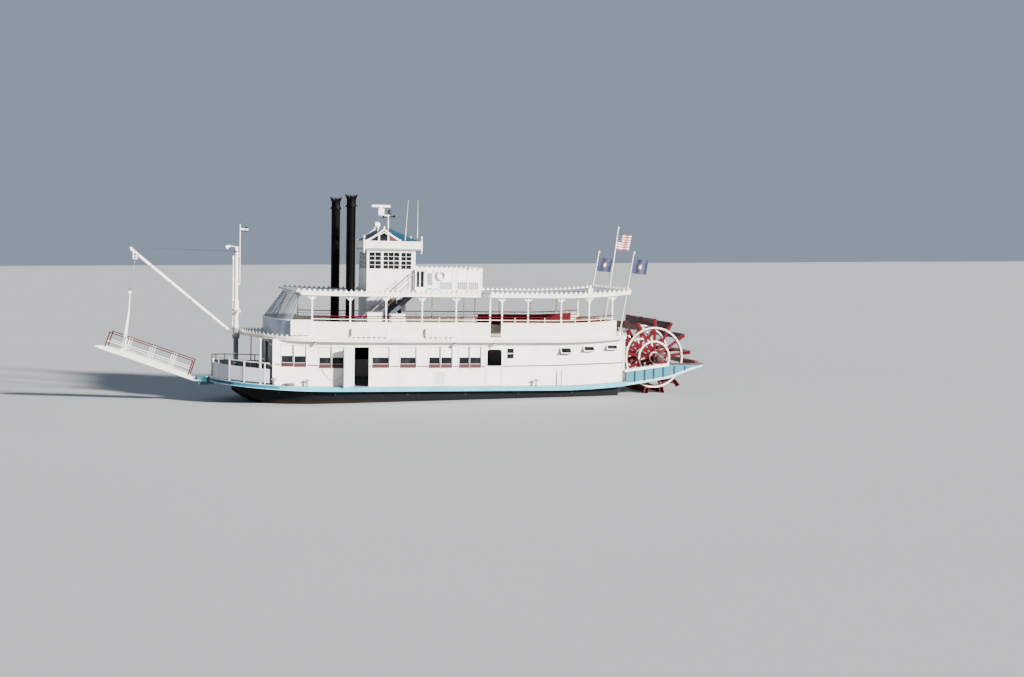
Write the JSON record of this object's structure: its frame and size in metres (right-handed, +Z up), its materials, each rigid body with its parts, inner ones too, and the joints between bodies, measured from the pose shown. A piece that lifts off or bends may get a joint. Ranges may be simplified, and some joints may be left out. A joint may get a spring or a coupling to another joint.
{
  "type": "sternwheel paddle boat",
  "caption": "Small sternwheel paddle boat: decked hull, open upper deck, pilothouse, tall stacks, turning paddle wheel, rudders, slewing boom with hinged landing stage, doors and radar.",
  "frame": {"origin": "on the hull's flat bottom, on the centreline amidships, 0.8 m below the waterline", "axes": "+X to the bow, +Y to port, +Z up"},
  "size_m": [32.3519, 6.8702, 11.5439],
  "materials": {
    "hull_black": "black hull paint, faintly chalked, with waterline wear",
    "deck_blue": "bright blue deck-edge paint over grey deck",
    "house_white": "white house paint, semi-gloss, lightly streaked",
    "trim_cream": "cream paint",
    "bulwark_grey": "light grey paint",
    "rail_red": "crimson rail paint",
    "bench_red": "crimson bench paint",
    "wheel_red": "crimson wheel-arm paint with white rings",
    "wheel_timber": "dark wet oak bucket boards",
    "roof_teal": "teal roof paint with white fascia",
    "stack_black": "black stack paint, sooted at the crown",
    "curtain_vinyl": "clear vinyl curtain, slightly milky",
    "flag_cloth": "woven flag bunting",
    "steel": "bare or galvanised steel",
    "window_glass": "dark window glass",
    "rope": "laid hemp rope"
  },
  "bodies": {
    "boat": {"hull": "hull_black", "main_deck": "deck_blue", "stern_frame": "house_white", "house_wall_port": "house_white", "house_wall_starboard": "house_white", "house_wall_front": "house_white", "house_wall_aft": "house_white", "engine": "steel", "upper_deck": "trim_cream", "upper_bulwark": "trim_cream", "canopy_forward": "house_white", "canopy_aft": "house_white", "upper_rail_port": "rail_red", "upper_rail_starboard": "rail_red", "front_curtain": "curtain_vinyl", "upper_cabin": "house_white", "pilothouse_wall_port": "house_white", "pilothouse_wall_starboard": "house_white", "pilothouse_wall_front": "house_white", "pilothouse_wall_aft": "house_white", "pilothouse_roof": "roof_teal", "radar_mast": "house_white", "stack_port": "stack_black", "stack_starboard": "stack_black", "roof_railing": "house_white", "roof_stair": "house_white", "stair_rail_inner": "house_white", "stair_rail_outer": "house_white", "bench_port": "bench_red", "bench_starboard": "bench_red", "foredeck_bulwark_port": "bulwark_grey", "foredeck_bulwark_starboard": "bulwark_grey", "mast": "house_white", "flagpole_port": "house_white", "flagpole_centre": "house_white", "flagpole_starboard": "house_white", "flag_port": "flag_cloth", "flag_centre": "flag_cloth", "flag_starboard": "flag_cloth", "flag_jack": "flag_cloth"},
    "paddle_wheel": {"wheel_shaft": "steel", "wheel_frame_port": "wheel_red", "wheel_frame_middle": "wheel_timber", "wheel_frame_starboard": "wheel_red"},
    "boom_gear": {"boom_swivel": "house_white", "boom": "house_white", "topping_lift": "steel", "boom_fall": "steel"},
    "turntable": {"stage_turntable": "bulwark_grey"},
    "stage": {"stage_deck": "house_white", "stage_frame": "house_white"},
    "port_rudder": {"rudder_port": "hull_black"},
    "starboard_rudder": {"rudder_starboard": "hull_black"},
    "port_side_door": {"side_door_port": "bulwark_grey"},
    "starboard_side_door": {"side_door_starboard": "bulwark_grey"},
    "port_half_door": {"half_door_port": "bulwark_grey"},
    "starboard_half_door": {"half_door_starboard": "bulwark_grey"},
    "pilothouse_aft_door": {"pilothouse_door": "house_white"},
    "radar": {"radar_scanner": "house_white"}
  },
  "joints": [
    {"name": "wheel_turn", "type": "hinge", "parent": "boat", "child": "paddle_wheel", "pos_m": [-12.55, 0, 3.05], "axis": [0, 1, 0], "continuous": true},
    {"name": "boom_slew", "type": "hinge", "parent": "boat", "child": "boom_gear", "pos_m": [10.05, 0, 4.2], "axis": [0, 0, 1], "range_deg": [-12.8, 27.2]},
    {"name": "stage_swing", "type": "hinge", "parent": "boat", "child": "turntable", "pos_m": [11.75, 0, 1.78], "axis": [0, 0, 1], "range_deg": [-18.6, 39.5]},
    {"name": "stage_pitch", "type": "hinge", "parent": "turntable", "child": "stage", "pos_m": [12.19247, -0.08201, 1.715], "axis": [-0.1822, -0.9833, 0], "range_deg": [-29, 0]},
    {"name": "rudder_port_turn", "type": "hinge", "parent": "boat", "child": "port_rudder", "pos_m": [-10.42, 1.1, 0.6], "axis": [0, 0, 1], "range_deg": [-35, 35]},
    {"name": "rudder_starboard_turn", "type": "hinge", "parent": "boat", "child": "starboard_rudder", "pos_m": [-10.42, -1.1, 0.6], "axis": [0, 0, 1], "range_deg": [-35, 35]},
    {"name": "side_door_port_swing", "type": "hinge", "parent": "boat", "child": "port_side_door", "pos_m": [4.26, 2.97, 2.6], "axis": [0, 0, 1], "range_deg": [-19, 141]},
    {"name": "side_door_starboard_swing", "type": "hinge", "parent": "boat", "child": "starboard_side_door", "pos_m": [4.26, -2.97, 2.6], "axis": [0, 0, 1], "range_deg": [0, 160]},
    {"name": "half_door_port_swing", "type": "hinge", "parent": "boat", "child": "port_half_door", "pos_m": [-2.87, 2.97, 2.1], "axis": [0, 0, 1], "range_deg": [-110, 0]},
    {"name": "half_door_starboard_swing", "type": "hinge", "parent": "boat", "child": "starboard_half_door", "pos_m": [-2.87, -2.97, 2.1], "axis": [0, 0, 1], "range_deg": [0, 110]},
    {"name": "pilothouse_door_swing", "type": "hinge", "parent": "boat", "child": "pilothouse_aft_door", "pos_m": [0.76, 0.35, 7.5], "axis": [0, 0, 1], "range_deg": [-110, 0]},
    {"name": "radar_turn", "type": "hinge", "parent": "boat", "child": "radar", "pos_m": [2.42, 0, 11], "axis": [0, 0, 1], "continuous": true}
  ],
  "couplings": [
    {"joint": "stage_swing", "follows": "boom_slew", "ratio": 1.45},
    {"joint": "rudder_starboard_turn", "follows": "rudder_port_turn", "ratio": 1}
  ]
}
